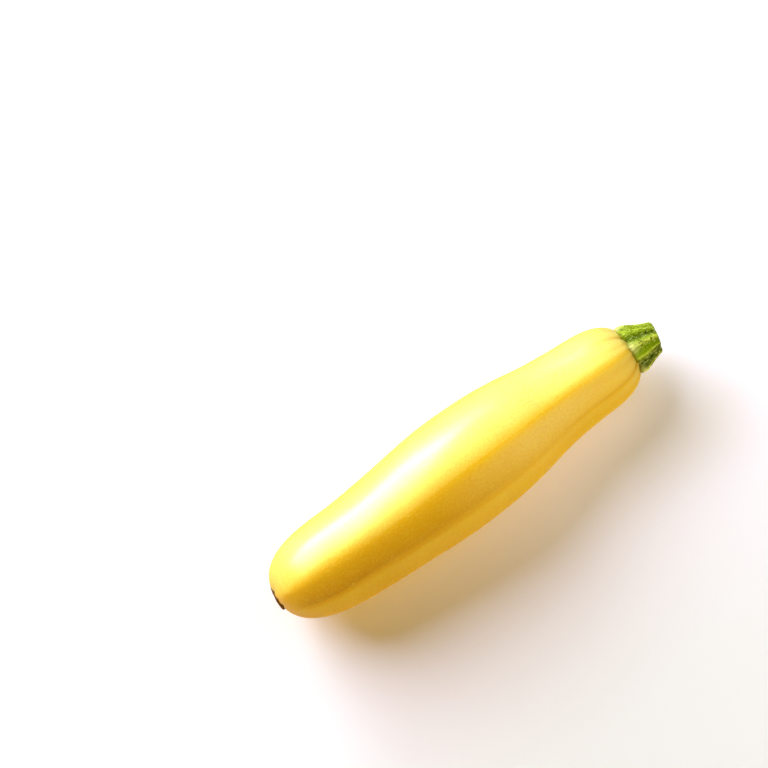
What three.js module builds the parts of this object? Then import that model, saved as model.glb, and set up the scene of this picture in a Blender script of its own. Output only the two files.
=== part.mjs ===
// Golden zucchini, picked and lying on its side: the fruit, the stub of stem that it was cut by,
// and the dry scar that the blossom left. Millimetres, +Z up. +X runs along the fruit from the
// blossom end to the stem, and the fruit rests on the plane z = 0.

import * as THREE from 'three';

// Fruit: lengths are measured along X from the tip of the blossom end.
const fruitLength = 171;
const blossomDomeLength = 33;
const blossomDomePower = 2.35;
const shoulderLength = 22;
const shoulderPower = 2.85;
const scarSeatAt = 1.2;
const stemSeatAt = 168.9;
const girth = {
  at: [0, 33, 57, 85, 104, 118, 132, 146, 171],
  radius: [20, 20.2, 21.8, 23.5, 23, 21.4, 18.9, 17.6, 17.8],
};
const sway = { at: [0, 40, 95, 140, 171], offset: [1.1, 0, 2.5, 3.6, 3.4] };

// Ribs: five crests with grooves between them, strong at the neck and soft on the belly. The one
// beside the top grew a little wider than the others.
const ribCount = 5;
const ribPitch = (2 * Math.PI) / ribCount;
const ribTurn = THREE.MathUtils.degToRad(1);
const wideRib = {
  at: THREE.MathUtils.degToRad(45),
  reach: THREE.MathUtils.degToRad(25),
  by: THREE.MathUtils.degToRad(5.5),
};
const crestRise = 0.035;
const grooveFall = 0.05;
const ribbing = {
  at: [0, 14, 60, 90, 112, 132, 150, 171],
  strength: [0.45, 0.42, 0.4, 0.4, 0.55, 0.85, 1, 1],
};

// Underside: it rises from the table by a share of what the fruit loses in girth, and the weight
// of the fruit presses a flat into it.
const undersideShare = 0.35;
const bearingDepth = 0.4;

// Stem stub: lengths are measured along X from its foot.
const jointGap = 0.3;
const stemTaper = { at: [0, 2, 4.6, 8.1, 10.8, 14], radius: [10.2, 10.7, 9.9, 8.1, 7.1, 6.1] };
const stemLength = 12.7;
const cutSlant = THREE.MathUtils.degToRad(13);
const stemLean = THREE.MathUtils.degToRad(-7.5);
const stemFootShift = -0.35;
const stemTurn = THREE.MathUtils.degToRad(9.5);
const furrowStart = THREE.MathUtils.degToRad(18);
const furrow = { at: [0, 4, 14], depth: [0.22, 0.16, 0.12] };

// Blossom scar: a thin corky disc with a dished face and a small nub where the style sat.
const scarRadius = 5.2;
const scarThickness = 0.9;
const scarRim = 0.25;
const scarDish = 0.35;
const scarNub = 1.1;

// Fineness of the solids
const segmentsPerRib = 10;
const domeRings = 9;
const bellyRings = 24;
const shoulderRings = 9;
const stemRings = 12;

// A smooth curve through the values given at rising positions.
function smoothCurve(positions, values) {
  const curve = new THREE.CubicInterpolant(positions, values, 1, new Float64Array(1));
  return (position) => curve.evaluate(position)[0];
}

const girthAt = smoothCurve(girth.at, girth.radius);
const swayAt = smoothCurve(sway.at, sway.offset);
const ribbingAt = smoothCurve(ribbing.at, ribbing.strength);
const stemRadiusAt = smoothCurve(stemTaper.at, stemTaper.radius);
const furrowAt = smoothCurve(furrow.at, furrow.depth);

// Angles run round the fruit from its top, +Z, towards -Y.
const segments = ribCount * segmentsPerRib;
const ringAngles = Array.from({ length: segments }, (_, index) => (index * 2 * Math.PI) / segments);

// A closed body through rings that follow each other along +X, capped by a fan at either end.
function ringedBody(rings) {
  const points = rings.flat();
  const triangles = [];
  for (let ring = 0; ring < rings.length - 1; ring += 1) {
    for (let step = 0; step < segments; step += 1) {
      const near = ring * segments + step;
      const nearNext = ring * segments + ((step + 1) % segments);
      const far = near + segments;
      const farNext = nearNext + segments;
      triangles.push(near, nearNext, far);
      triangles.push(nearNext, farNext, far);
    }
  }
  for (const ring of [0, rings.length - 1]) {
    const middle = new THREE.Vector3();
    rings[ring].forEach((point) => middle.addScaledVector(point, 1 / segments));
    const middleIndex = points.push(middle) - 1;
    for (let step = 0; step < segments; step += 1) {
      const here = ring * segments + step;
      const next = ring * segments + ((step + 1) % segments);
      triangles.push(middleIndex, ...(ring === 0 ? [next, here] : [here, next]));
    }
  }
  const geometry = new THREE.BufferGeometry().setFromPoints(points);
  geometry.setIndex(triangles);
  geometry.computeVertexNormals();
  return geometry;
}

// The angle between a point on the skin and the nearest crest.
function angleFromCrest(angle) {
  const pastCrest = THREE.MathUtils.euclideanModulo(angle, ribPitch);
  return Math.min(pastCrest, ribPitch - pastCrest);
}

// The angle round the fruit in terms of its ribs, with a crest at every whole rib pitch.
function ribAngle(angle) {
  return angle + ribTurn - wideRib.by * Math.exp(-(((angle - wideRib.at) / wideRib.reach) ** 2));
}

// The fruit's section away from its ends: between a circle and a shape with flat facets from each
// crest to the grooves beside it, as far as the ribs are raised there.
function sectionRadius(along, angle) {
  const round = girthAt(along);
  const crest = round * (1 + crestRise);
  const groove = round * (1 - grooveFall);
  const fromCrest = angleFromCrest(ribAngle(angle));
  const toGroove = ribPitch / 2 - fromCrest;
  const facet = (crest * groove * Math.sin(ribPitch / 2))
    / (crest * Math.sin(fromCrest) + groove * Math.sin(toGroove));
  return THREE.MathUtils.lerp(round, facet, ribbingAt(along));
}

// How far the fruit has closed in at its two round ends, from 1 on the belly to 0 at the tips.
function endClosing(along) {
  const intoDome = Math.max(0, 1 - along / blossomDomeLength);
  const intoShoulder = Math.max(0, 1 - (fruitLength - along) / shoulderLength);
  const dome = (1 - intoDome ** blossomDomePower) ** (1 / blossomDomePower);
  const shoulder = (1 - intoShoulder ** shoulderPower) ** (1 / shoulderPower);
  return dome * shoulder;
}

// The height of the fruit's core line, set so that the lowest point of each full section lies on
// the line of the underside.
function coreHeight(along) {
  const drops = ringAngles.map((angle) => -Math.cos(angle) * sectionRadius(along, angle));
  const underside = undersideShare * (Math.max(...girth.radius) - girthAt(along));
  return Math.max(...drops) + underside - bearingDepth;
}

// Positions of the fruit's rings: close together at the round ends, and even along the belly.
function ringPositions() {
  const bellyStart = blossomDomeLength;
  const bellyEnd = fruitLength - shoulderLength;
  const positions = [];
  for (let ring = 0; ring < domeRings; ring += 1) {
    const turn = (ring / domeRings) * (Math.PI / 2);
    positions.push(THREE.MathUtils.lerp(scarSeatAt, bellyStart, 1 - Math.cos(turn)));
  }
  for (let ring = 0; ring < bellyRings; ring += 1) {
    positions.push(THREE.MathUtils.lerp(bellyStart, bellyEnd, ring / bellyRings));
  }
  for (let ring = 0; ring <= shoulderRings; ring += 1) {
    const turn = (ring / shoulderRings) * (Math.PI / 2);
    positions.push(THREE.MathUtils.lerp(bellyEnd, stemSeatAt, Math.sin(turn)));
  }
  return positions;
}

// The fruit: one solid with blunt seats at its ends, and a flat where it bears on the table.
function makeFruit() {
  const rings = ringPositions().map((along) => {
    const core = coreHeight(along);
    const closing = endClosing(along);
    return ringAngles.map((angle) => {
      const radius = sectionRadius(along, angle) * closing;
      const height = core + radius * Math.cos(angle);
      return new THREE.Vector3(along, swayAt(along) - radius * Math.sin(angle), Math.max(height, 0));
    });
  });
  const skin = new THREE.MeshStandardMaterial({ color: '#f0bf24', roughness: 0.32, metalness: 0 });
  return new THREE.Mesh(ringedBody(rings), skin);
}

// How deep the furrow beside a rib of the stem is, as a share of the radius: the ribs are broad
// and flat, and the furrows between them narrow.
function furrowDepth(along, angle) {
  const fromCrest = angleFromCrest(angle - stemTurn);
  return furrowAt(along) * THREE.MathUtils.smoothstep(fromCrest, furrowStart, ribPitch / 2);
}

// The stem stub: ribbed almost in line with the fruit, with a swollen foot, leaning a little and
// cut off at a slant with a knife.
function makeStem() {
  const footCentre = swayAt(stemSeatAt) + stemFootShift;
  const rings = [];
  for (let ring = 0; ring <= stemRings; ring += 1) {
    rings.push(ringAngles.map((angle) => {
      const sideways = -Math.sin(angle) * stemRadiusAt(stemLength);
      const cutAt = stemLength + sideways * Math.tan(cutSlant);
      const along = (ring / stemRings) * cutAt;
      const radius = stemRadiusAt(along) * (1 - furrowDepth(along, angle));
      return new THREE.Vector3(
        along,
        footCentre + along * Math.tan(stemLean) - radius * Math.sin(angle),
        radius * Math.cos(angle),
      );
    }));
  }
  const rind = new THREE.MeshStandardMaterial({ color: '#7d9a22', roughness: 0.6, metalness: 0 });
  const stem = new THREE.Mesh(ringedBody(rings), rind);
  stem.position.set(stemSeatAt + jointGap, 0, coreHeight(stemSeatAt));
  return stem;
}

// The blossom scar: turned about the fruit's own axis, and set on the blunt blossom end.
function makeBlossomScar() {
  const face = scarThickness - scarDish;
  const profile = [
    new THREE.Vector2(0, 0),
    new THREE.Vector2(scarRadius - scarRim, 0),
    new THREE.Vector2(scarRadius, scarRim),
    new THREE.Vector2(scarRadius - scarRim, scarThickness),
    new THREE.Vector2(scarRadius - 5 * scarRim, scarThickness - scarRim),
    new THREE.Vector2(2 * scarNub, face),
    new THREE.Vector2(scarNub, face),
    new THREE.Vector2(scarNub / 2, scarThickness - scarRim),
    new THREE.Vector2(0, scarThickness),
  ];
  const disc = new THREE.LatheGeometry(profile, segments);
  disc.rotateZ(Math.PI / 2);
  const cork = new THREE.MeshStandardMaterial({ color: '#6b4a22', roughness: 0.85, metalness: 0 });
  const scar = new THREE.Mesh(disc, cork);
  scar.position.set(scarSeatAt - jointGap, swayAt(0), coreHeight(0));
  return scar;
}

const fruit = makeFruit();
fruit.name = 'fruit';
const stem = makeStem();
stem.name = 'stem';
const blossomScar = makeBlossomScar();
blossomScar.name = 'blossom_scar';

// The zucchini's origin is under its middle, on the table.
const zucchini = new THREE.Group();
zucchini.add(fruit, stem, blossomScar);
const middle = new THREE.Box3().setFromObject(zucchini).getCenter(new THREE.Vector3());
zucchini.position.set(-middle.x, -middle.y, 0);

export default zucchini;
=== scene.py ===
import math

import bpy
import numpy as np
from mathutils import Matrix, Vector, noise


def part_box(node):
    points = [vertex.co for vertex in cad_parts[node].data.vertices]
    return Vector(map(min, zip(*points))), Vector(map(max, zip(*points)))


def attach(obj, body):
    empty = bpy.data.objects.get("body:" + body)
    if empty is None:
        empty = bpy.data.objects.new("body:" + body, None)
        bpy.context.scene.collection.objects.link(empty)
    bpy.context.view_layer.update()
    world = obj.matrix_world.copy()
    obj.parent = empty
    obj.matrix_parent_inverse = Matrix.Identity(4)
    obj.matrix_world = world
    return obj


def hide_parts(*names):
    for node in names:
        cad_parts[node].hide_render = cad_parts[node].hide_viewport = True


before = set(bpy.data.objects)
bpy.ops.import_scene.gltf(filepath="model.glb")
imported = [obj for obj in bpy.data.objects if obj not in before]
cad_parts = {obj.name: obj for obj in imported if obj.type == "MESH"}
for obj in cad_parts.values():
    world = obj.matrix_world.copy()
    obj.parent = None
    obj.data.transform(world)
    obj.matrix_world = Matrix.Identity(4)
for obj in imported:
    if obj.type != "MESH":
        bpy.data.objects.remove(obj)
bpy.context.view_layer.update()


# ---------------------------------------------------------------------------------------------
# The fruit: a smooth, waxy golden body that grew as one piece. It swells from a round blossom
# end to the belly, narrows to a neck with five ribs, and its shoulder closes round the stem.
# It lies on a small flat that its own weight presses into the underside.
# ---------------------------------------------------------------------------------------------
MM = 0.001
fruit_low, fruit_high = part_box("fruit")

# Lengths run from the tip of the blossom end. Each curve is a row of places along the fruit and a
# row of values at them: its radius, its sway towards +Y, how strongly it is ribbed, and how flat
# its -Y side is.
fruit_length = 171.0
blossom_dome = 34.0
blossom_power = 2.35
shoulder_end = 171.8
shoulder = 22.8
shoulder_power = 2.7
scar_seat = 1.2
skin_end = 171.4
girth = ((0, 33, 57, 85, 104, 118, 132, 146, 171), (20, 20.2, 21.8, 23.5, 23, 21.4, 18.9, 17.6, 17.3))
sway = ((0, 40, 95, 140, 171), (1.1, 0, 2.5, 3.6, 3.4))
ribbing = ((0, 14, 60, 90, 112, 132, 150, 171), (0.75, 0.65, 0.5, 0.45, 0.55, 0.85, 1, 1))
flatness = ((0, 14, 60, 105, 132, 171), (0.2, 0.4, 0.5, 0.5, 0.3, 0))

# The underside rises towards both ends by a share of what the fruit loses in radius, and the lowest
# of the belly is pressed flat.
underside_share = 0.35
bearing_depth = 0.4

# The ribs. Angles run round the fruit from its top towards -Y, and the rib beside the top is wider.
rib_count = 5
rib_pitch = 2 * math.pi / rib_count
rib_turn = math.radians(1)
rib_wander = math.radians(1)
wander_length = 19.0
rib_unevenness = 0.12
uneven_from = 0.6
wide_rib_at = math.radians(45)
wide_rib_reach = math.radians(25)
wide_rib_by = math.radians(5.5)
crest_rise = 0.035
groove_fall = 0.05
facet_edge = 1.017
crest_rounding = 320
facet_rounding = 170


def smooth_curve(stations, softness):
    """A curve through the stations' values, with its bends softened over that many millimetres."""
    step = 0.25
    overrun = 30
    places, values = (np.array(row, float) for row in stations)
    slopes = np.gradient(values, places)
    fine = np.arange(places[0] - overrun, places[-1] + overrun, step)
    inside = np.clip(fine, places[0], places[-1])
    cell = np.clip(np.searchsorted(places, inside) - 1, 0, len(places) - 2)
    gap = places[cell + 1] - places[cell]
    t = (inside - places[cell]) / gap
    curve = (
        (2 * t**3 - 3 * t**2 + 1) * values[cell]
        + (t**3 - 2 * t**2 + t) * gap * slopes[cell]
        + (3 * t**2 - 2 * t**3) * values[cell + 1]
        + (t**3 - t**2) * gap * slopes[cell + 1]
    )
    near_by = int(3 * softness / step)
    weights = np.exp(-0.5 * (np.arange(-near_by, near_by + 1) * step / softness) ** 2)
    padded = np.pad(curve, near_by, mode="edge")
    softened = np.convolve(padded, weights / weights.sum(), mode="valid")
    return lambda along: np.interp(along, fine, softened)


girth_at = smooth_curve(girth, 3.0)
sway_at = smooth_curve(sway, 6.0)
ribbing_at = smooth_curve(ribbing, 4.0)
flatness_at = smooth_curve(flatness, 4.0)


def from_crest(angles):
    """The angle to the nearest crest of a rib."""
    return np.abs((angles + rib_pitch / 2) % rib_pitch - rib_pitch / 2)


def flat_sided(crest, groove, rounding):
    """A section with a flat side from each crest to the grooves beside it, its edges rounded off."""
    ring = np.linspace(0, 2 * math.pi, 720, endpoint=False)
    near = from_crest(ring)
    outline = crest * groove * math.sin(rib_pitch / 2) / (
        crest * np.sin(near) + groove * np.sin(rib_pitch / 2 - near)
    )
    for _ in range(rounding):
        outline = (np.roll(outline, 1) + 2 * outline + np.roll(outline, -1)) / 4
    return lambda angles: np.interp(angles, ring, outline, period=2 * math.pi)


ribbed_at = flat_sided(1 + crest_rise, 1 - groove_fall, crest_rounding)
faceted_at = flat_sided(facet_edge, facet_edge, facet_rounding)


def end_closing(along):
    """How far the fruit has closed in at its round ends: 1 on the belly, 0 at the tips."""
    into_dome = np.clip(1 - along / blossom_dome, 0, 1)
    into_shoulder = np.clip(1 - (shoulder_end - along) / shoulder, 0, 1)
    dome = (1 - into_dome**blossom_power) ** (1 / blossom_power)
    return dome * (1 - into_shoulder**shoulder_power) ** (1 / shoulder_power)


def core_height(along, angles, radii):
    """Each full section is hung so that its lowest point lies on the line of the underside."""
    drops = (-np.cos(angles) * radii).max(axis=1)
    underside = underside_share * (max(girth[1]) - girth_at(along))
    return drops + underside - bearing_depth


# Rings of points lie close together at the two round ends, and evenly along the belly.
end_rings = 60
belly_rings = 150
points_around = 300
quarter = np.linspace(0, math.pi / 2, end_rings)
blossom_places = scar_seat + (blossom_dome - scar_seat) * (1 - np.cos(quarter))
belly_places = np.linspace(blossom_dome, shoulder_end - shoulder, belly_rings)[1:-1]
shoulder_places = shoulder_end - shoulder + (skin_end - shoulder_end + shoulder) * np.sin(quarter)
along = np.concatenate([blossom_places, belly_places, shoulder_places])
angles = np.linspace(0, 2 * math.pi, points_around, endpoint=False)


def over_length(places, amounts):
    """One amount for each ring, drawn evenly between the amounts at those places along the fruit."""
    return np.interp(along, places, amounts)[:, None]


def hump(values, middle, reach):
    """1 where the values are at the middle, and next to nothing at twice the reach from it."""
    return np.exp(-(((values - middle) / reach) ** 2))


wander = rib_wander * np.sin(along / wander_length)[:, None]
widened = over_length((70, 130), (0.35, 1)) * wide_rib_by * hump(angles, wide_rib_at, wide_rib_reach)
turned = angles[None, :] + rib_turn + wander - widened
rib_strength = ribbing_at(along)[:, None] * (1 + rib_unevenness * np.cos(turned + uneven_from))
flat_side = np.clip(0.1 + 1.2 * np.sin(angles), 0, 1) * flatness_at(along)[:, None]
swell = rib_strength * (ribbed_at(turned) - 1) + flat_side * (faceted_at(turned) - 1)
radii = girth_at(along)[:, None] * (1 + swell)
heights = core_height(along, angles[None, :], radii)
radii = radii * end_closing(along)[:, None]
fruit_rings = np.stack(
    [
        np.broadcast_to(along[:, None], radii.shape),
        sway_at(along)[:, None] - radii * np.sin(angles),
        heights[:, None] + radii * np.cos(angles),
    ],
    axis=2,
)

# Relief on the skin: a narrow crease in each groove, fainter in two of them, which runs out on the
# belly; crests that stand sharper near the scar; folds that gather at the scar and at the stem; and
# the faint lumps of anything that grew. A wave of lumps is its height, how many go round the fruit,
# the length over which it drifts round, and where it starts.
lump_waves = ((0.10, 2, 17.0, 0), (0.07, 3, -9.0, 1.0), (0.04, 5, 5.3, 0))
keel_height = 0.18
keel_reach = math.radians(9)
keel_length = 14
scar_fold_depth = 0.4
scar_fold_length = 2.6
stem_fold_depth = 0.18
stem_fold_count = 19
stem_fold_length = 9.0
faint_grooves = (1, 4)

from_scar = np.clip(along - scar_seat, 0, None)[:, None]
from_stem = np.clip(fruit_length - along, 0, None)[:, None]
to_groove = rib_pitch / 2 - from_crest(turned)
is_faint = np.isin(np.floor(turned / rib_pitch).astype(int) % rib_count, faint_grooves)
faint_depth = over_length((148, 164, 170), (0, 0.08, 0.35))
crease_depth = over_length((10, 60, 125, 150, 163, 170), (0, 0.05, 0.12, 0.25, 0.3, 0.65))
crease_depth = np.where(is_faint, faint_depth, crease_depth)
crease_width = np.radians(over_length((100, 150, 164, 170), (3.4, 2.6, 2.6, 4.5)))
crease = hump(to_groove, 0, crease_width)
keel = hump(from_crest(turned), 0, keel_reach) * np.exp(-from_scar / keel_length)
scar_waves = np.cos(2 * rib_count * angles + 1.1 * np.sin(3 * angles))
scar_folds = (0.5 + 0.5 * scar_waves) ** 2 * np.exp(-from_scar / scar_fold_length)
stem_waves = np.cos(stem_fold_count * turned + 1.4 * np.sin(4 * turned))
stem_folds = (0.5 + 0.5 * stem_waves) ** 2 * np.exp(-from_stem / stem_fold_length)
lumps = sum(
    height * np.sin(count * angles + along[:, None] / drift + start)
    for height, count, drift, start in lump_waves
)
lumps = lumps * end_closing(along)[:, None]


def outward(rings):
    """The direction out of the skin at each point of the rings."""
    round_it = np.roll(rings, -1, axis=1) - np.roll(rings, 1, axis=1)
    along_it = np.gradient(rings, axis=0)
    out = np.cross(round_it, along_it)
    return out / np.linalg.norm(out, axis=2, keepdims=True)


relief = lumps + keel_height * keel - crease_depth * crease
relief = relief - scar_fold_depth * scar_folds - stem_fold_depth * stem_folds
fruit_rings = fruit_rings + outward(fruit_rings) * relief[:, :, None]

# Under the scar the skin turns in, and is drawn a little into the fruit.
seat_share = np.array([0.12, 0.4, 0.65, 0.85, 0.96])
seat_depth = 0.5
seat_middle = fruit_rings[0].mean(axis=0)
hollow = seat_middle + (fruit_rings[0] - seat_middle) * seat_share[:, None, None]
hollow[:, :, 0] += seat_depth * (1 - seat_share**2)[:, None]
fruit_rings = np.concatenate([hollow, fruit_rings])


def lofted(name, rings):
    """A closed skin through rings of points, in millimetres, with a point at either end."""
    ring_count, around, _ = rings.shape
    points = np.vstack([rings.reshape(-1, 3), rings[[0, -1]].mean(axis=1)]) * MM
    here = np.arange(around)
    after = np.roll(here, -1)
    last = (ring_count - 1) * around
    first_tip = ring_count * around
    faces = []
    for near in range(0, last, around):
        far = near + around
        faces += np.stack([near + here, near + after, far + after, far + here], 1).tolist()
    faces += np.stack([np.full(around, first_tip), after, here], 1).tolist()
    faces += np.stack([np.full(around, first_tip + 1), last + here, last + after], 1).tolist()
    mesh = bpy.data.meshes.new(name)
    mesh.from_pydata(points.tolist(), [], faces)
    mesh.shade_smooth()
    piece = bpy.data.objects.new(name, mesh)
    bpy.context.scene.collection.objects.link(piece)
    return piece


# The skin is laid into the solid's box. It reaches a little past the solid's end to meet the scar,
# and is flattened where it bears on the table.
reach_to_scar = 0.35
box_middle = np.array(fruit_low + fruit_high) / (2 * MM)
extents = np.array([fruit_rings[:, :, 1].min(), fruit_rings[:, :, 1].max()])
first_place = fruit_low.x / MM - scar_seat - reach_to_scar
fruit_shift = np.array([first_place, box_middle[1] - extents.mean(), 0])
fruit_rings = fruit_rings + fruit_shift
fruit_rings[:, :, 2] = np.maximum(fruit_rings[:, :, 2], 0)
fruit = lofted("golden_fruit", fruit_rings)


def mark(piece, name, values):
    """Keeps a value for each point of the rings, such as how deep in a groove it lies."""
    tips = [values[0].mean(), values[-1].mean()]
    layer = piece.data.attributes.new(name, "FLOAT", "POINT")
    layer.data.foreach_set("value", np.append(values.ravel(), tips).astype(np.float32))


def mark_fruit(name, values, under_scar=0.0):
    """Marks the skin of the fruit, with a value of its own where it turns in under the scar."""
    turned_in = np.zeros((len(seat_share), points_around)) + under_scar
    mark(fruit, name, np.concatenate([turned_in, values + 0 * turned]))


# Marks that the skin's colour follows. The +Y side, which the lamp lights, is painted paler as
# painted light. It fades over the top, sooner near the blossom end, and underneath, and is fainter
# in the folds at the stem, as painted shade, where the ridges between them are painted pale as
# painted light. The grooves are painted deeper, as painted shade. On the neck the crests are a full
# gold, and the facet beside the top is painted tan, as a painted sheen. On the belly each rib is
# painted pale on the flank next past a groove, as painted reflected light, and deep on the other,
# as painted shade.
full_crease = 0.25
lit_paint_edge = 0.3
lit_paint_underneath = ((225, 250, 295), (0, 0.2, 1))
shade_in_folds = 0.5
shade_in_neck_folds = 0.6
ridge_length = 10.0
scar_tan_length = 2.2
crest_reach = math.radians(6)
facet_middle = math.radians(16)
facet_reach = math.radians(24)
plain_groove_reach = math.radians(3.2)
shade_stripe_power = 1.5

# Painted light: the ridges between the folds at the stem are painted pale.
ridges = (0.25 + 0.75 * (0.5 - 0.5 * stem_waves)) * np.exp(-from_stem / ridge_length)
past_top = over_length((7, 13, 24, 38, 50), (0.06, -0.09, -0.09, -0.02, 0.06))
lit_side_paint = np.clip((past_top - 0.5 * np.sin(angles)) / lit_paint_edge, 0, 1)
lit_side_paint = lit_side_paint * np.interp(np.degrees(angles), *lit_paint_underneath) * (1 - shade_in_folds * stem_folds)
painted_lit_neck = over_length((75, 120), (0, 1)) * lit_side_paint * (1 - shade_in_neck_folds * stem_folds)
on_neck = over_length((72, 118), (0, 1))
on_crest = hump(from_crest(turned), 0, crest_reach)
# Painted sheen: the facet beside the top, towards -Y, is painted tan.
neck_sheen = on_neck * over_length((138, 158), (1, 0.6)) * (1 - on_crest)
neck_sheen = neck_sheen * hump(angles, facet_middle, facet_reach)
# Painted shade and light: on each rib of the belly the flank before a groove is painted deep as shade,
# and the flank past it pale as reflected light.
on_belly = over_length((3, 12, 30, 48, 95, 130), (0, 1, 1, 0.85, 0.65, 0.10))
past_groove = (turned / rib_pitch + 0.5) % 1
stripe = on_belly * (1 - 2 * past_groove) * (1 - hump(to_groove, 0, plain_groove_reach))

# Painted shade: each groove is painted deeper, as far as its crease is deep.
mark_fruit("groove", crease * np.clip(crease_depth / full_crease, 0, 1))
mark_fruit("stem_ridge_light", ridges)
mark_fruit("painted_lit_side", lit_side_paint, under_scar=lit_side_paint[0])
mark_fruit("painted_lit_neck", painted_lit_neck)
mark_fruit("blossom_end", np.exp(-from_scar / scar_tan_length), under_scar=1.0)
mark_fruit("crest", on_neck * on_crest)
mark_fruit("painted_neck_sheen", neck_sheen)
mark_fruit("painted_shade_stripe", np.clip(-stripe, 0, 1) ** shade_stripe_power)
mark_fruit("painted_light_stripe", np.clip(stripe, 0, 1))


def new_finish(name):
    """An empty material, the tree that its nodes go in, and its shader."""
    finish = bpy.data.materials.new(name)
    finish.use_nodes = True
    return finish, finish.node_tree, finish.node_tree.nodes["Principled BSDF"]


def feed(tree, socket, value):
    """Sets a socket to a value, or links it to an output."""
    if isinstance(value, bpy.types.NodeSocket):
        tree.links.new(value, socket)
    else:
        socket.default_value = value


def node(tree, kind, settings=None, **sockets):
    """A node with its settings, and with each named socket set to a value or linked to an output."""
    made = tree.nodes.new("ShaderNode" + kind)
    for name, value in (settings or {}).items():
        setattr(made, name, value)
    for name, value in sockets.items():
        feed(tree, made.inputs[name.replace("_", " ")], value)
    return made


def marked(tree, name):
    """The values that a mark keeps on the piece."""
    return node(tree, "Attribute", {"attribute_name": name}).outputs["Fac"]


def between(tree, value, low, high):
    """0 below low, 1 above high, and an even slope between them, or the other way about."""
    return node(tree, "MapRange", Value=value, From_Min=low, From_Max=high).outputs[0]


def arithmetic(tree, operation, first, second):
    """One step of arithmetic on two numbers, held between 0 and 1."""
    made = node(tree, "Math", {"operation": operation, "use_clamp": True})
    feed(tree, made.inputs[0], first)
    feed(tree, made.inputs[1], second)
    return made.outputs[0]


def times(tree, first, second):
    """Two numbers multiplied together, held between 0 and 1."""
    return arithmetic(tree, "MULTIPLY", first, second)


def blend(tree, amount, under, over):
    """The colour under, covered by the colour over as far as amount says."""
    made = node(tree, "Mix", {"data_type": "RGBA"})
    feed(tree, made.inputs[0], amount)
    feed(tree, made.inputs[6], under)
    feed(tree, made.inputs[7], over)
    return made.outputs[2]


def coloured(tree, ground, washes):
    """The ground colour with washes laid over it: where each lies, how much it covers, its colour."""
    for where, cover, wash in washes:
        ground = blend(tree, times(tree, where, cover), ground, wash)
    return ground


# Skin: golden, painted paler on the +Y side that the lamp lights, as painted light, and deeper in
# the grooves, as painted shade. It is tan at the blossom end and painted pale on the ridges at the
# stem, as painted light. On the belly its ribs carry bands of painted shade and painted reflected
# light, the neck's facet a tan painted sheen, and the lit neck a cream painted light. Faint clouds,
# pale streaks along the fruit, fine grain, small specks and a few larger pores lie in it, under a
# thin coat of wax.
gold = (0.90, 0.51, 0.003, 1)
lit_side_gold = (0.96, 0.82, 0.13, 1)
shade_stripe_gold = (0.60, 0.25, 0.001, 1)
light_band_gold = (0.99, 0.65, 0.012, 1)
deep_gold = (0.80, 0.40, 0.003, 1)
pale_gold = (0.95, 0.68, 0.02, 1)
speck_cream = (0.98, 0.80, 0.10, 1)
crest_gold = (0.95, 0.58, 0.003, 1)
sheen_tan = (0.98, 0.64, 0.14, 1)
ridge_gold = (1.0, 0.80, 0.16, 1)
neck_cream = (0.97, 0.86, 0.24, 1)
end_tan = (0.84, 0.42, 0.04, 1)
wax_tint = (1.0, 0.85, 0.15, 1)
grain_height = 0.06 * MM
speck_height = 0.05 * MM
pore_height = 0.12 * MM
flesh_glow_depth = 4 * MM

skin, tree, shader = new_finish("waxy_golden_skin")
places = node(tree, "TexCoord").outputs["Object"]
drawn_out = node(tree, "Mapping", Vector=places, Scale=(0.12, 1, 1)).outputs[0]
cloud_noise = node(tree, "TexNoise", Vector=places, Scale=38, Detail=3).outputs[0]
streak_noise = node(tree, "TexNoise", Vector=drawn_out, Scale=900, Detail=3).outputs[0]
grain = node(tree, "TexNoise", Vector=places, Scale=1400, Detail=2).outputs[0]
small_cells = node(tree, "TexVoronoi", Vector=places, Scale=1500)
some_cells = between(tree, small_cells.outputs["Color"], 0.3, 0.65)
specks = times(tree, some_cells, between(tree, small_cells.outputs["Distance"], 0.55, 0.15))
wide_cells = node(tree, "TexVoronoi", Vector=places, Scale=170)
few_cells = between(tree, wide_cells.outputs["Color"], 0.60, 0.66)
pores = times(tree, few_cells, between(tree, wide_cells.outputs["Distance"], 0.10, 0.05))

# Washes over the gold, in the order that they are laid: where, how much each covers, its colour.
skin_washes = (
    # painted shade and painted reflected light on the ribs of the belly
    (marked(tree, "painted_shade_stripe"), 1.0, shade_stripe_gold),
    (marked(tree, "painted_light_stripe"), 1.0, light_band_gold),
    # painted sheen on the neck's facet
    (marked(tree, "painted_neck_sheen"), 0.9, sheen_tan),
    # painted light on the +Y side and on the lit neck
    (marked(tree, "painted_lit_side"), 1.0, lit_side_gold),
    (marked(tree, "painted_lit_neck"), 0.6, neck_cream),
    (between(tree, cloud_noise, 0.4, 0.8), 0.3, deep_gold),
    (between(tree, streak_noise, 0.5, 0.75), 0.22, pale_gold),
    (marked(tree, "crest"), 0.4, crest_gold),
    (between(tree, grain, 0.52, 0.3), 0.34, deep_gold),
    (specks, 0.38, speck_cream),
    (pores, 0.45, speck_cream),
    # painted shade in the grooves
    (marked(tree, "groove"), 0.5, deep_gold),
    # painted light on the ridges at the stem
    (marked(tree, "stem_ridge_light"), 0.75, ridge_gold),
    (marked(tree, "blossom_end"), 0.7, end_tan),
)
feed(tree, shader.inputs["Base Color"], coloured(tree, gold, skin_washes))
roughness = node(tree, "MapRange", Value=grain, To_Min=0.46, To_Max=0.58).outputs[0]
feed(tree, shader.inputs["Roughness"], roughness)
raised = node(tree, "Bump", Strength=0.6, Distance=grain_height, Height=grain).outputs[0]
raised = node(tree, "Bump", Strength=0.5, Distance=speck_height, Height=specks, Normal=raised).outputs[0]
raised = node(tree, "Bump", Strength=0.6, Distance=pore_height, Height=pores, Normal=raised).outputs[0]
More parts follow.
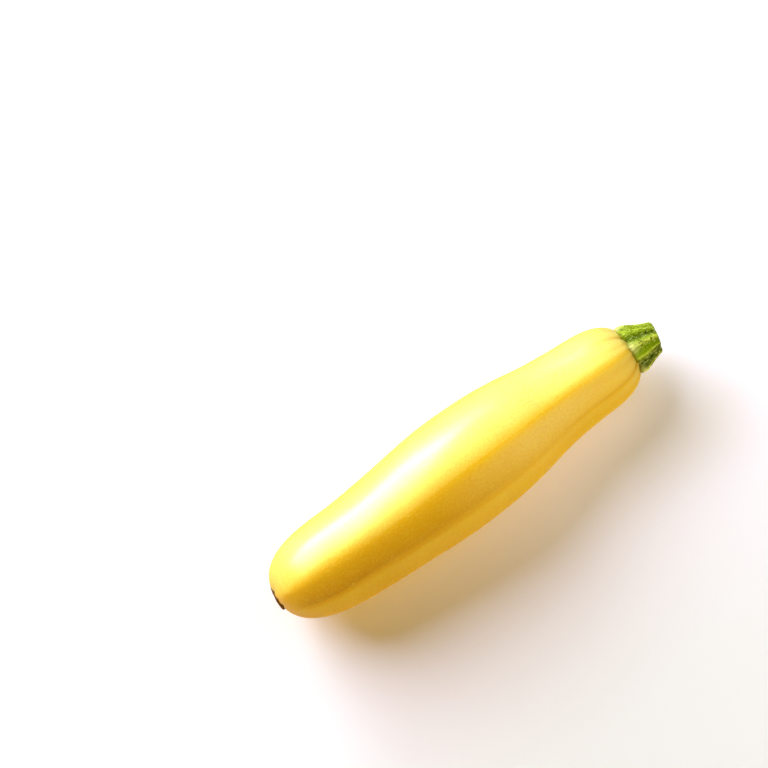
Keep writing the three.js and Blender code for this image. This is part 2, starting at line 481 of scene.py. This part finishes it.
feed(tree, shader.inputs["Normal"], raised)
shader.inputs["Specular IOR Level"].default_value = 0.32
shader.inputs["Specular Tint"].default_value = wax_tint
shader.inputs["Subsurface Weight"].default_value = 0.2
shader.inputs["Subsurface Radius"].default_value = (1.0, 0.45, 0.1)
shader.inputs["Subsurface Scale"].default_value = flesh_glow_depth
shader.inputs["Coat Weight"].default_value = 0.14
shader.inputs["Coat Roughness"].default_value = 0.27
fruit.data.materials.append(skin)

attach(fruit, "root")
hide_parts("fruit")


# ---------------------------------------------------------------------------------------------
# The stem: a stub of the tough green stalk that the fruit hung by, with five broad ribs that run
# on from the fruit's own. It swells where it joins the shoulder, and a knife cut it off slantwise.
# ---------------------------------------------------------------------------------------------
stem_low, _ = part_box("stem")

# Lengths run from the foot of the stem, and its root lies below that, inside the shoulder. The
# curves are its radius, and the share of it that the furrows take away.
stem_root = -2.2
stem_taper = ((-3, -1, 0, 2, 4.6, 8.1, 10.8, 14), (7.5, 9.2, 10.1, 10.5, 9.7, 7.9, 6.9, 5.9))
stem_furrow = ((-3, 0, 4, 14), (0.24, 0.22, 0.16, 0.12))
stem_length = 12.8
stem_ring_count = 110
cut_radius = 6.0
cut_slant = math.radians(13)
stem_lean = math.radians(-7.5)
stem_shift = -0.35
stem_turn = math.radians(9.5)
furrow_start = math.radians(21)

stem_radius_at = smooth_curve(stem_taper, 0.6)
furrow_at = smooth_curve(stem_furrow, 0.8)

stem_angles = np.linspace(0, 2 * math.pi, points_around, endpoint=False)
shares = np.linspace(0, 1, stem_ring_count)
cut_at = stem_length - np.sin(stem_angles) * cut_radius * math.tan(cut_slant)
stem_along = stem_root + (cut_at - stem_root)[None, :] * shares[:, None]
rib_angles = stem_angles[None, :] - stem_turn + 0 * stem_along
into_furrow = (from_crest(rib_angles) - furrow_start) / (rib_pitch / 2 - furrow_start)
into_furrow = np.clip(into_furrow, 0, 1)
into_furrow = into_furrow**2 * (3 - 2 * into_furrow)
stem_radii = stem_radius_at(stem_along) * (1 - furrow_at(stem_along) * into_furrow)
stem_sway = sway_at(fruit_length - 2) + fruit_shift[1] + stem_shift
stem_height = heights[-1]
stem_rings = np.stack(
    [
        stem_low.x / MM + stem_along,
        stem_sway + stem_along * math.tan(stem_lean) - stem_radii * np.sin(stem_angles),
        stem_height + stem_radii * np.cos(stem_angles),
    ],
    axis=2,
)

# Each rib has a broad rounded shoulder along one edge and a thin raised line along the other, and
# its foot swells to a toe. Pebbles cover all of it, coarser in the furrows, and hardly stand out on
# the one smooth face beside the top. On the +Y side the foot is pressed in.
broad_edge_at = math.radians(-15)
broad_edge_reach = math.radians(6.5)
broad_edge_height = 0.45
thin_edge_at = math.radians(15)
thin_edge_reach = math.radians(3.0)
thin_edge_height = 0.32
pebble_height = 0.28
pebble_on_rib = 0.4
more_in_furrow = 0.8
pebble_top = 0.9
pebble_fall = 2.0
pebble_scale = np.array([0.45, 1.35, 1.35])
grit_share = 0.6
grit_scale = np.array([0.8, 2.3, 2.3])
smooth_face_at = math.radians(17)
smooth_face_reach = math.radians(9)
pebble_lost_there = 0.75
toe_at = math.radians(-13)
toe_reach = math.radians(11)
toe_length = 2.8
toe_height = 0.5
pressed_at = math.radians(285)
pressed_reach = math.radians(30)
pressed_length = 3.5
pressed_depth = 0.8


def pebble_at(point):
    """How high the pebbled rind stands at a point: round pebbles, with grit on them."""
    to_pebble = noise.voronoi(Vector(point * pebble_scale))[0][0]
    grit = grit_share * noise.noise(Vector(point * grit_scale))
    return pebble_top - pebble_fall * to_pebble + grit


off_middle = (rib_angles + rib_pitch / 2) % rib_pitch - rib_pitch / 2
broad_edge = hump(off_middle, broad_edge_at, broad_edge_reach)
thin_edge = hump(off_middle, thin_edge_at, thin_edge_reach)
smooth_face = hump(stem_angles, smooth_face_at, smooth_face_reach)
pebble = np.array([[pebble_at(point) for point in ring] for ring in stem_rings])
pebble = np.clip(pebble, -1, 1) * (1 - pebble_lost_there * smooth_face)
above_foot = np.clip(stem_along, 0, None)
toe = hump(above_foot, 0, toe_length) * (1 - into_furrow)
toe = toe * hump(off_middle, toe_at, toe_reach) * (0.85 + 0.3 * pebble)
pressed = hump(stem_along, 0, pressed_length) * hump(stem_angles, pressed_at, pressed_reach)
fade_at_cut = np.interp(shares, (0.96, 1.0), (1, 0.2))[:, None]
stem_relief = broad_edge_height * broad_edge + thin_edge_height * thin_edge
stem_relief = stem_relief + pebble_height * pebble * (pebble_on_rib + more_in_furrow * into_furrow)
stem_relief = stem_relief + toe_height * toe - pressed_depth * pressed
stem_rings = stem_rings + outward(stem_rings) * (stem_relief * fade_at_cut)[:, :, None]

# The cut: the last ring closes over a face that has dried hollow inside a slightly raised edge.
cut_share = np.array([0.97, 0.93, 0.85, 0.7, 0.5, 0.3, 0.12])
cut_dish = ((0.1, 0.35, 0.85, 0.93, 1), (-0.7, -0.35, 0.0, 0.18, 0))
cut_middle = stem_rings[-1].mean(axis=0)
cut_face = cut_middle + (stem_rings[-1] - cut_middle) * cut_share[:, None, None]
cut_face[:, :, 0] += np.interp(cut_share, *cut_dish)[:, None]
stem_rings = np.concatenate([stem_rings, cut_face])
stem = lofted("stem_stub", stem_rings)


def mark_stem(name, values, on_cut=0.0):
    """Marks the rind of the stem, with a value of its own on the cut."""
    cut_values = np.zeros((len(cut_share), points_around)) + on_cut
    mark(stem, name, np.concatenate([values + 0 * stem_along, cut_values]))


# Marks that the rind's colour follows, among them the side that turns from the lamp towards -Y, for
# painted shade, the +Y side for painted light, the root for a painted shade, and the end that dries
# towards the cut, least along the broad edges.
root_shade_length = 0.9
broad_edge_paleness = 0.85
thin_edge_paleness = 0.65
shade_start = 0.42
shade_edge = 0.14
lit_paint_gain = 1.3
fresh_on_broad_edge = 0.6
pale_edge = np.clip(broad_edge_paleness * broad_edge + thin_edge_paleness * thin_edge, 0, 1)
shaded_side = np.clip((np.sin(stem_angles) - shade_start) / shade_edge, 0, 1)
drying_end = np.interp(shares, (0.6, 1.0), (0, 1))[:, None] * (1 - fresh_on_broad_edge * broad_edge)
mark_stem("furrow", into_furrow)
mark_stem("pale_edge", pale_edge)
mark_stem("pebble", 0.5 + 0.5 * pebble, on_cut=0.5)
mark_stem("toe", toe)
# Painted shade: a dark band round the stem's root where it meets the shoulder.
mark_stem("root", hump(above_foot, 0, root_shade_length))
mark_stem("shaded", shaded_side)
# Painted light: the +Y side of the rind is painted brighter.
mark_stem("painted_lit_side", np.clip(-lit_paint_gain * np.sin(stem_angles), 0, 1))
mark_stem("cut_face", 0.0, on_cut=cut_share[:, None])
mark_stem("is_cut", 0.0, on_cut=1.0)
mark_stem("smooth_face", smooth_face)
mark_stem("drying_end", drying_end)

# Rind: green, painted brighter on the +Y side that the lamp lights, as painted light, and dark in
# the furrows and on the shaded side, as painted shade, and towards the cut. Its raised edges and
# its toes are pale, the tops of its pebbles are painted pale as painted light, and the pits between
# them darkest, as painted shade. A dark painted shade runs round its root. Pale flecks lie all
# over it, strongest on the edges and faintest on the smooth face, and longer dashes on the shaded
# side. The cut has a brown middle inside a pale green ring, and its rim is as green as the ribs.
rib_green = (0.225, 0.335, 0.001, 1)
lit_side_green = (0.31, 0.46, 0.003, 1)
shade_and_drying_green = (0.062, 0.105, 0.001, 1)
pit_shade_green = (0.045, 0.07, 0.001, 1)
edge_green = (0.80, 0.90, 0.08, 1)
fleck_and_lit_top_green = (0.84, 0.92, 0.24, 1)
toe_green = (0.98, 0.98, 0.36, 1)
root_shade_brown = (0.20, 0.17, 0.01, 1)
cut_green = (0.50, 0.58, 0.22, 1)
cut_brown = (0.30, 0.24, 0.08, 1)
rind_tint = (1.0, 0.95, 0.35, 1)
fleck_strength = 0.5
stronger_on_edges = 0.35
fainter_on_smooth_face = 0.42
hair_height = 0.1 * MM

rind, tree, shader = new_finish("ribbed_green_rind")
places = node(tree, "TexCoord").outputs["Object"]
drawn_out = node(tree, "Mapping", Vector=places, Scale=(0.4, 1, 1)).outputs[0]
fleck_noise = node(tree, "TexNoise", Vector=drawn_out, Scale=2000, Detail=3).outputs[0]
drawn_long = node(tree, "Mapping", Vector=places, Scale=(0.14, 1, 1)).outputs[0]
dash_noise = node(tree, "TexNoise", Vector=drawn_long, Scale=1500, Detail=1).outputs[0]
edge_flecks = times(tree, marked(tree, "pale_edge"), stronger_on_edges)
lost_flecks = times(tree, marked(tree, "smooth_face"), fainter_on_smooth_face)
fleck_cover = arithmetic(tree, "ADD", fleck_strength, edge_flecks)
fleck_cover = arithmetic(tree, "SUBTRACT", fleck_cover, lost_flecks)
dashes = times(tree, between(tree, dash_noise, 0.57, 0.64), marked(tree, "shaded"))

rind_washes = (
    # painted light on the +Y side
    (marked(tree, "painted_lit_side"), 1.0, lit_side_green),
    # painted shade in the furrows and on the -Y side, and the darker drying end
    (marked(tree, "furrow"), 0.85, shade_and_drying_green),
    (marked(tree, "shaded"), 0.85, shade_and_drying_green),
    (marked(tree, "drying_end"), 0.45, shade_and_drying_green),
    (marked(tree, "pale_edge"), 0.72, edge_green),
    # painted shade in the pits between the pebbles and painted light on their tops
    (between(tree, marked(tree, "pebble"), 0.42, 0.08), 0.8, pit_shade_green),
    (between(tree, marked(tree, "pebble"), 0.62, 0.9), 0.55, fleck_and_lit_top_green),
    (between(tree, fleck_noise, 0.56, 0.66), fleck_cover, fleck_and_lit_top_green),
    (dashes, 0.5, fleck_and_lit_top_green),
    (marked(tree, "toe"), 1.0, toe_green),
    # painted shade round the root
    (marked(tree, "root"), 0.9, root_shade_brown),
)
cut_washes = (
    (between(tree, marked(tree, "cut_face"), 0.2, 0.75), 1.0, cut_green),
    (between(tree, marked(tree, "cut_face"), 0.86, 0.95), 1.0, rib_green),
)
rind_colour = coloured(tree, rib_green, rind_washes)
cut_colour = coloured(tree, cut_brown, cut_washes)
stem_colour = blend(tree, marked(tree, "is_cut"), rind_colour, cut_colour)
feed(tree, shader.inputs["Base Color"], stem_colour)
roughness = node(tree, "MapRange", Value=fleck_noise, To_Min=0.50, To_Max=0.75).outputs[0]
feed(tree, shader.inputs["Roughness"], roughness)
hairy = node(tree, "Bump", Strength=0.5, Distance=hair_height, Height=fleck_noise).outputs[0]
feed(tree, shader.inputs["Normal"], hairy)
shader.inputs["Specular IOR Level"].default_value = 0.03
shader.inputs["Specular Tint"].default_value = rind_tint
stem.data.materials.append(rind)

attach(stem, "root")
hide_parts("stem")


# ---------------------------------------------------------------------------------------------
# The blossom scar: a thin disc of dry brown cork where the flower dropped off. Its rim is broken
# and uneven, its face is dished, and a small nub is left of the style in the middle.
# ---------------------------------------------------------------------------------------------
scar_low, scar_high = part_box("blossom_scar")

scar_spread = 1.02
scar_points = 120
scar_radius = scar_spread * (scar_high.z - scar_low.z) / (2 * MM)
scar_middle = np.array(scar_low + scar_high) / (2 * MM)
scar_angles = np.linspace(0, 2 * math.pi, scar_points, endpoint=False)

# From the nub out over the rim and in behind it: the share of the radius, and how deep it lies.
scar_profile = (
    (0.10, 0.10), (0.16, 0.16), (0.22, 0.45), (0.40, 0.60), (0.62, 0.55), (0.78, 0.35),
    (0.88, 0.10), (0.96, 0.02), (1.0, 0.06), (1.01, 0.5), (0.98, 1.3), (0.9, 2.0),
)

# The disc stands a little out of its seat. Its rim has lifted as it dried, on the side towards -Y,
# and lies closer to the fruit on the other.
scar_stands_out = 0.10
rim_raggedness = 0.05
face_raggedness = 0.10
rim_lift = ((-1, -0.3, 0.2, 1), (-0.5, -0.1, 0.28, 0.32))
ragged = np.array([noise.noise(Vector((3 * math.cos(a), 3 * math.sin(a), 1.7))) for a in scar_angles])
lifted = np.interp(np.sin(scar_angles), *rim_lift)
scar_rings = []
for share, depth in scar_profile:
    reach = scar_radius * share * (1 + rim_raggedness * ragged * share**4)
    sunk = depth - scar_stands_out - lifted * share**3
    scar_ring = [
        scar_low.x / MM + sunk + face_raggedness * ragged * share**2,
        scar_middle[1] - reach * np.sin(scar_angles),
        scar_middle[2] + reach * np.cos(scar_angles),
    ]
    scar_rings.append(np.stack(scar_ring, axis=1))
scar = lofted("blossom_scar_cork", np.array(scar_rings))

# Cork: dry and crumbly, in two browns, with hardly any shine.
bark_brown = (0.13, 0.042, 0.003, 1)
cork_brown = (0.25, 0.11, 0.02, 1)
crumb_height = 0.2 * MM
cork, tree, shader = new_finish("dry_scar_cork")
places = node(tree, "TexCoord").outputs["Object"]
crumbs = node(tree, "TexNoise", Vector=places, Scale=1400, Detail=4).outputs[0]
cork_colour = blend(tree, between(tree, crumbs, 0.4, 0.65), bark_brown, cork_brown)
feed(tree, shader.inputs["Base Color"], cork_colour)
crumbly = node(tree, "Bump", Strength=0.8, Distance=crumb_height, Height=crumbs).outputs[0]
feed(tree, shader.inputs["Normal"], crumbly)
shader.inputs["Roughness"].default_value = 0.85
shader.inputs["Specular IOR Level"].default_value = 0.05
scar.data.materials.append(cork)

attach(scar, "root")
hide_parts("blossom_scar")


# ---------------------------------------------------------------------------------------------
# The table: a plain pale sheet that the zucchini lies on, large enough to fill every view. It is
# matt, and the shadow of the zucchini falls on it.
# ---------------------------------------------------------------------------------------------
table_half = 6.0
table_signs = ((-1, -1), (1, -1), (1, 1), (-1, 1))
table_corners = [(x * table_half, y * table_half, 0) for x, y in table_signs]
table_mesh = bpy.data.meshes.new("pale_table")
table_mesh.from_pydata(table_corners, [], [(0, 1, 2, 3)])
table = bpy.data.objects.new("pale_table", table_mesh)
bpy.context.scene.collection.objects.link(table)

# The sheet is a warm cream in the light that it throws back. Where it is looked at, its colours are
# over 1, because the lamp is low and lights a level sheet weakly: one in the open, and others on
# the shaded -Y side of the zucchini, beside its neck, past its shade, and far off. The lower ones
# in the shade and beside the neck are a painted shadow laid over the cast one, and past the shade
# the sheet is painted a little dimmer, as painted shade.
warm_cream = (1.0, 0.89, 0.66, 1)
open_white = (1.24, 1.36, 1.54, 1)
shade_white = (1.14, 1.14, 1.29, 1)
neck_shadow_white = (1.03, 1.01, 1.05, 1)
past_shade_white = (1.13, 1.20, 1.30, 1)
far_white = (1.4, 1.5, 1.75, 1)


def looked_at(tree):
    """1 where a thing is looked at, straight, in a shine or through glass, and 0 as it gives light."""
    rays = node(tree, "LightPath")
    seen = arithmetic(tree, "ADD", rays.outputs["Is Camera Ray"], rays.outputs["Is Glossy Ray"])
    return arithmetic(tree, "ADD", seen, rays.outputs["Is Transmission Ray"])


sheet = bpy.data.materials.new("pale_sheet")
sheet.use_nodes = True
tree = sheet.node_tree
tree.nodes.clear()
places = node(tree, "TexCoord").outputs["Object"]
place = node(tree, "SeparateXYZ", Vector=places)
place_x = place.outputs["X"]
place_y = place.outputs["Y"]
before_stem = between(tree, place_x, 0.17, 0.11)
# Painted shadow: the sheet is painted darker in the zucchini's shade and beside its neck, and a little
# dimmer past the shade.
in_shade = times(tree, between(tree, place_y, 0.02, -0.01), between(tree, place_x, -0.115, -0.085))
in_shade = times(tree, in_shade, before_stem)
painted_neck_shadow = times(tree, in_shade, between(tree, place_x, 0.025, 0.06))
painted_neck_shadow = times(tree, painted_neck_shadow, between(tree, place_y, -0.024, -0.038))
painted_neck_shadow = times(tree, painted_neck_shadow, between(tree, place_y, -0.068, -0.046))
painted_neck_shadow = times(tree, painted_neck_shadow, between(tree, place_x, 0.116, 0.096))
past_shade = times(tree, between(tree, place_y, -0.06, -0.12), before_stem)
from_middle = node(tree, "VectorMath", {"operation": "LENGTH"}, Vector=places).outputs["Value"]
sheet_washes = (
    (in_shade, 1.0, shade_white),
    (painted_neck_shadow, 1.0, neck_shadow_white),
    (past_shade, 1.0, past_shade_white),
    (between(tree, from_middle, 0.19, 0.40), 1.0, far_white),
)
seen_colour = coloured(tree, open_white, sheet_washes)
sheet_colour = blend(tree, looked_at(tree), warm_cream, seen_colour)
matt = node(tree, "BsdfDiffuse", Color=sheet_colour)
node(tree, "OutputMaterial", Surface=matt.outputs[0])
table.data.materials.append(sheet)


# ---------------------------------------------------------------------------------------------
# Light: a soft lamp, low on the +Y side of the fruit, with the shine of a window and of a wall on
# that side, a small dim card over the neck, and a room that gives warm light from the -Y side.
# ---------------------------------------------------------------------------------------------
def lamp_towards(name, kind, way, energy, colour, away=0.2, lit=(0.06, 0, 0.03)):
    """A lamp in the direction given from the point that it lights, and turned back to that point."""
    data = bpy.data.lights.new(name, kind)
    data.energy = energy
    data.color = colour
    lamp = bpy.data.objects.new(name, data)
    lamp.location = Vector(lit) + away * Vector(way).normalized()
    lamp.rotation_euler = (-Vector(way)).to_track_quat("-Z", "Y").to_euler()
    bpy.context.scene.collection.objects.link(lamp)
    return data, lamp


# A sun's strength is given as what it shows on white that faces it, which takes pi times as much.
key_way = (-0.17, 0.87, 0.49)
key_colour = (0.90, 0.93, 1.03)
key_strength = 1.25
key_spread = math.radians(44)
key, _ = lamp_towards("key_sun", "SUN", key_way, key_strength * math.pi, key_colour)
key.angle = key_spread

# The window and the wall show only where a surface shines, and leave its matt colour alone.
shine_white = (1.0, 1.0, 1.0)
shine_spread = math.radians(40)
shines = (("window_shine", (-0.28, 0.85, 0.35), 9.0), ("wall_shine", (-0.05, 0.98, 0.10), 5.0))
for name, way, strength in shines:
    shine, shine_lamp = lamp_towards(name, "SUN", way, strength * math.pi, shine_white)
    shine.angle = shine_spread
    shine_lamp.visible_diffuse = False

# The card is a small disc hung over the neck, which the camera doesn't see.
card_way = (0, -0.20, 0.98)
card_energy = 0.056
card_colour = (0.51, 0.61, 0.68)
card_away = 0.102
card_size = 0.08
neck_place = (0.066, -0.01, 0.02)
card, card_lamp = lamp_towards(
    "neck_card", "AREA", card_way, card_energy, card_colour, card_away, neck_place
)
card.shape = "DISK"
card.size = card_size
card_lamp.visible_camera = False

# The room gives no light from the lamp's side. From the -Y side its light is warm, and paler from
# the wall that stands low there. Where it is looked at, it is white.
unlit_side = (0.0, 0.0, 0.0, 1)
warm_side = (0.98, 0.53, 0.05, 1)
low_wall = (1.20, 1.46, 0.75, 1)
room_white = (1, 1, 1, 1)
room = bpy.data.worlds.new("pale_room")
room.use_nodes = True
bpy.context.scene.world = room
tree = room.node_tree
ways = node(tree, "SeparateXYZ", Vector=node(tree, "TexCoord").outputs["Generated"])
lamp_side = between(tree, ways.outputs["Y"], -1.0, 0.2)
low_down = between(tree, ways.outputs["Z"], 0.55, 0.1)
wall_side = between(tree, ways.outputs["Y"], -0.25, -0.85)
room_colour = blend(tree, lamp_side, warm_side, unlit_side)
room_colour = blend(tree, times(tree, low_down, wall_side), room_colour, low_wall)
room_colour = blend(tree, looked_at(tree), room_colour, room_white)
feed(tree, tree.nodes["Background"].inputs["Color"], room_colour)


# ---------------------------------------------------------------------------------------------
# The camera looks straight down, from over a point beside the fruit, which crosses its view aslant.
# ---------------------------------------------------------------------------------------------
sensor_width = 36
half_view = math.radians(13.5)
camera_place = (-0.00896, 0.0447, 0.652)
camera_turn = -math.radians(34.53)
camera_data = bpy.data.cameras.new("camera")
camera_data.sensor_width = sensor_width
camera_data.lens = sensor_width / 2 / math.tan(half_view)
camera = bpy.data.objects.new("camera", camera_data)
camera.location = camera_place
camera.rotation_euler = (0, 0, camera_turn)
bpy.context.scene.collection.objects.link(camera)
bpy.context.scene.camera = camera
bpy.context.scene.view_settings.view_transform = "Standard"
